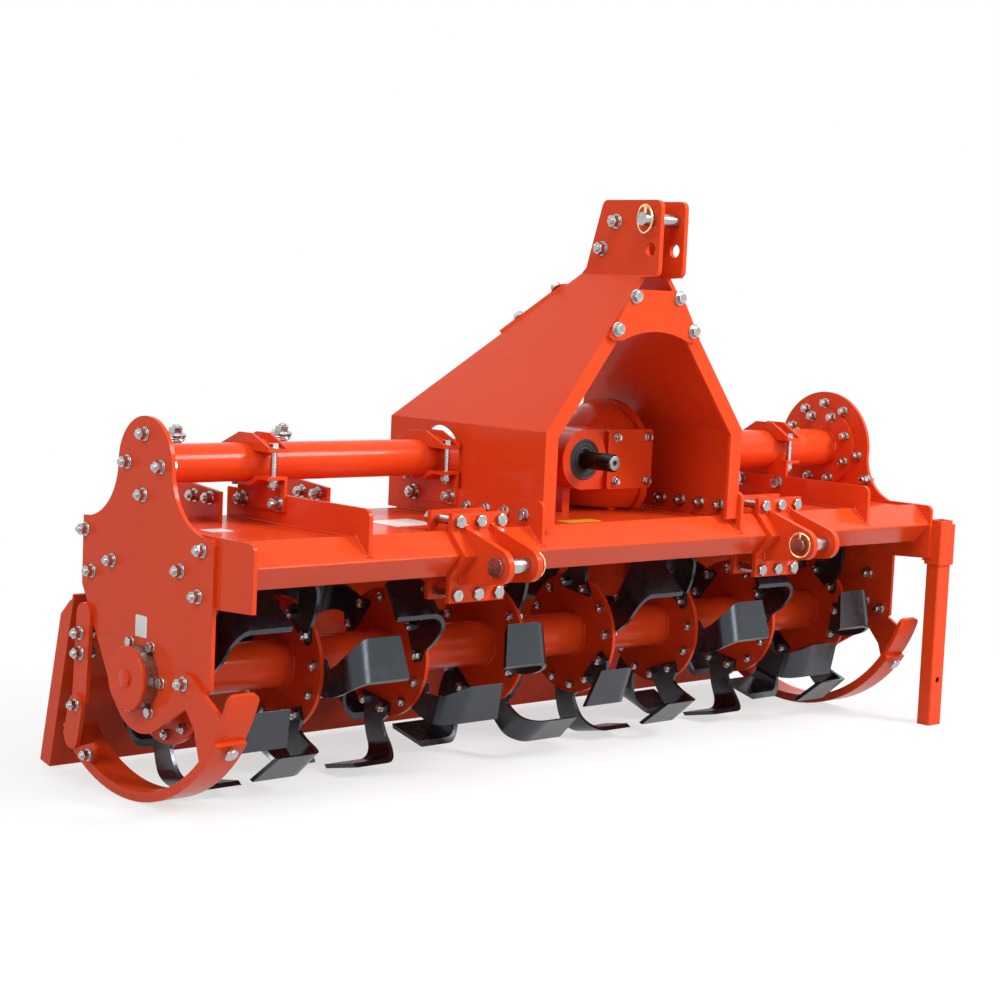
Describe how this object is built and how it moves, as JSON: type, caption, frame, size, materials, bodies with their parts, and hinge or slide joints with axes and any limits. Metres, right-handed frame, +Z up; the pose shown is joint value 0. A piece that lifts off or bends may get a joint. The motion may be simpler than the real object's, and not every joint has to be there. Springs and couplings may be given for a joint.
{
  "type": "rotary tiller",
  "caption": "Tractor-mounted rotary tiller with a folded hitch mast, L-blade rotor under a deck, side drive, hinged rear board with spring rods, skids and a parking stand.",
  "frame": {"origin": "on the ground under the middle of the machine's footprint", "axes": "+X across the machine to its right-hand end as seen from the tractor's seat looking back is its drive-case end, -Y towards the tractor, +Z up"},
  "size_m": [1.941, 0.7288, 1.101],
  "materials": {
    "red_paint": "glossy orange-red powder coat",
    "black_paint": "semi-gloss black paint",
    "zinc": "zinc-plated steel",
    "bare_steel": "machined bare steel",
    "shaft_black": "dark oiled steel",
    "seal_rubber": "matt black rubber"
  },
  "bodies": {
    "frame": {"bearing_left": "red_paint", "bearing_right": "red_paint", "clamp_caps": "red_paint", "clamp_saddles": "red_paint", "cross_tube_left": "red_paint", "cross_tube_right": "red_paint", "deck": "red_paint", "deck_ribs": "red_paint", "drive_case": "red_paint", "end_plates": "red_paint", "front_beam": "red_paint", "gearbox_cover": "red_paint", "gearbox_housing": "red_paint", "gearbox_seal": "seal_rubber", "hinge_rod": "zinc", "hitch_back_plates": "red_paint", "hitch_bracket_left": "red_paint", "hitch_bracket_right": "red_paint", "hitch_pin_left": "zinc", "hitch_pin_right": "zinc", "mast_cheek_left": "red_paint", "mast_cheek_right": "red_paint", "mast_gusset_front": "red_paint", "mast_gusset_rear": "red_paint", "rod_brackets": "red_paint", "side_plate_left": "red_paint", "side_plate_right": "red_paint", "skid_left": "red_paint", "skid_right": "red_paint", "skid_shoes": "red_paint", "skid_stays": "red_paint", "stand_bolt": "zinc", "stand_sleeve": "red_paint", "top_link_pin": "zinc", "tube_collar_right": "red_paint"},
    "rotor": {"blades_left_bent": "black_paint", "blades_right_bent": "black_paint", "rotor_flanges": "red_paint", "rotor_tube": "red_paint"},
    "input": {"input_shaft": "shaft_black"},
    "board": {"board_lugs": "red_paint", "rod_eye_pins": "zinc", "trailing_board": "red_paint"},
    "board_rods": {"rod_springs": "bare_steel", "spring_rods": "zinc"},
    "stand": {"stand_leg": "red_paint"}
  },
  "joints": [
    {"name": "rotor_spin", "type": "hinge", "parent": "frame", "child": "rotor", "pos_m": [-0.0115, 0.04662, 0.221], "axis": [1, 0, 0], "continuous": true},
    {"name": "pto_spin", "type": "hinge", "parent": "frame", "child": "input", "pos_m": [0.0045, -0.11338, 0.593], "axis": [0, 1, 0], "continuous": true},
    {"name": "board_hinge", "type": "hinge", "parent": "frame", "child": "board", "pos_m": [-0.0115, 0.25862, 0.349], "axis": [1, 0, 0], "range_deg": [0, 40]},
    {"name": "rod_pivot", "type": "hinge", "parent": "board", "child": "board_rods", "pos_m": [-0.0115, 0.32262, 0.201], "axis": [1, 0, 0], "range_deg": [-23, 0.5]},
    {"name": "stand_slide", "type": "slide", "parent": "frame", "child": "stand", "axis": [0, 0, 1], "range_m": [0, 0.3]}
  ],
  "couplings": [
    {"joint": "pto_spin", "follows": "rotor_spin", "ratio": -2.45},
    {"joint": "rod_pivot", "follows": "board_hinge", "ratio": -0.55}
  ]
}
